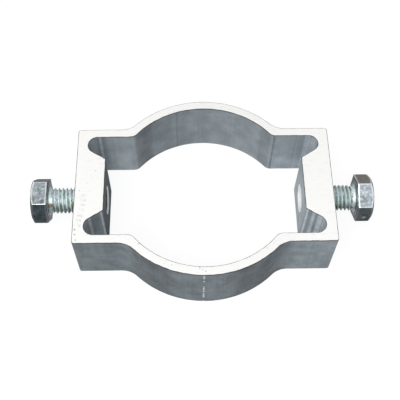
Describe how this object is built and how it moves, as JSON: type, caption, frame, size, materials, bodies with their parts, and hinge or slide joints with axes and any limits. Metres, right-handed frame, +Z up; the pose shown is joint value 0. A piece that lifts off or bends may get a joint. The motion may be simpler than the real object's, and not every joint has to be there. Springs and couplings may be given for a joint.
{
  "type": "sign post clamp",
  "caption": "Ring clamp sawn from an aluminium section, with a hex screw through each thick end that grips a round sign post standing in the ring.",
  "frame": {"origin": "middle of the round post opening, on the lower cut face", "axes": "+Z up the post, X along both screws, +Y towards the back arc"},
  "size_m": [0.1311, 0.075, 0.025],
  "materials": {
    "aluminium": "satin mill finish, bright sawn faces",
    "zinc_plated_steel": "clear zinc plating with a faint blue-green tint"
  },
  "bodies": {
    "band": {"clamp_band": "aluminium"},
    "left_screw": {"left_set_screw": "zinc_plated_steel"},
    "right_screw": {"right_set_screw": "zinc_plated_steel"}
  },
  "joints": [
    {"name": "left_screw_travel", "type": "slide", "parent": "band", "child": "left_screw", "axis": [1, 0, 0], "range_m": [-0.0039, 0.011]},
    {"name": "right_screw_travel", "type": "slide", "parent": "band", "child": "right_screw", "axis": [-1, 0, 0], "range_m": [-0.005, 0.0099]}
  ]
}
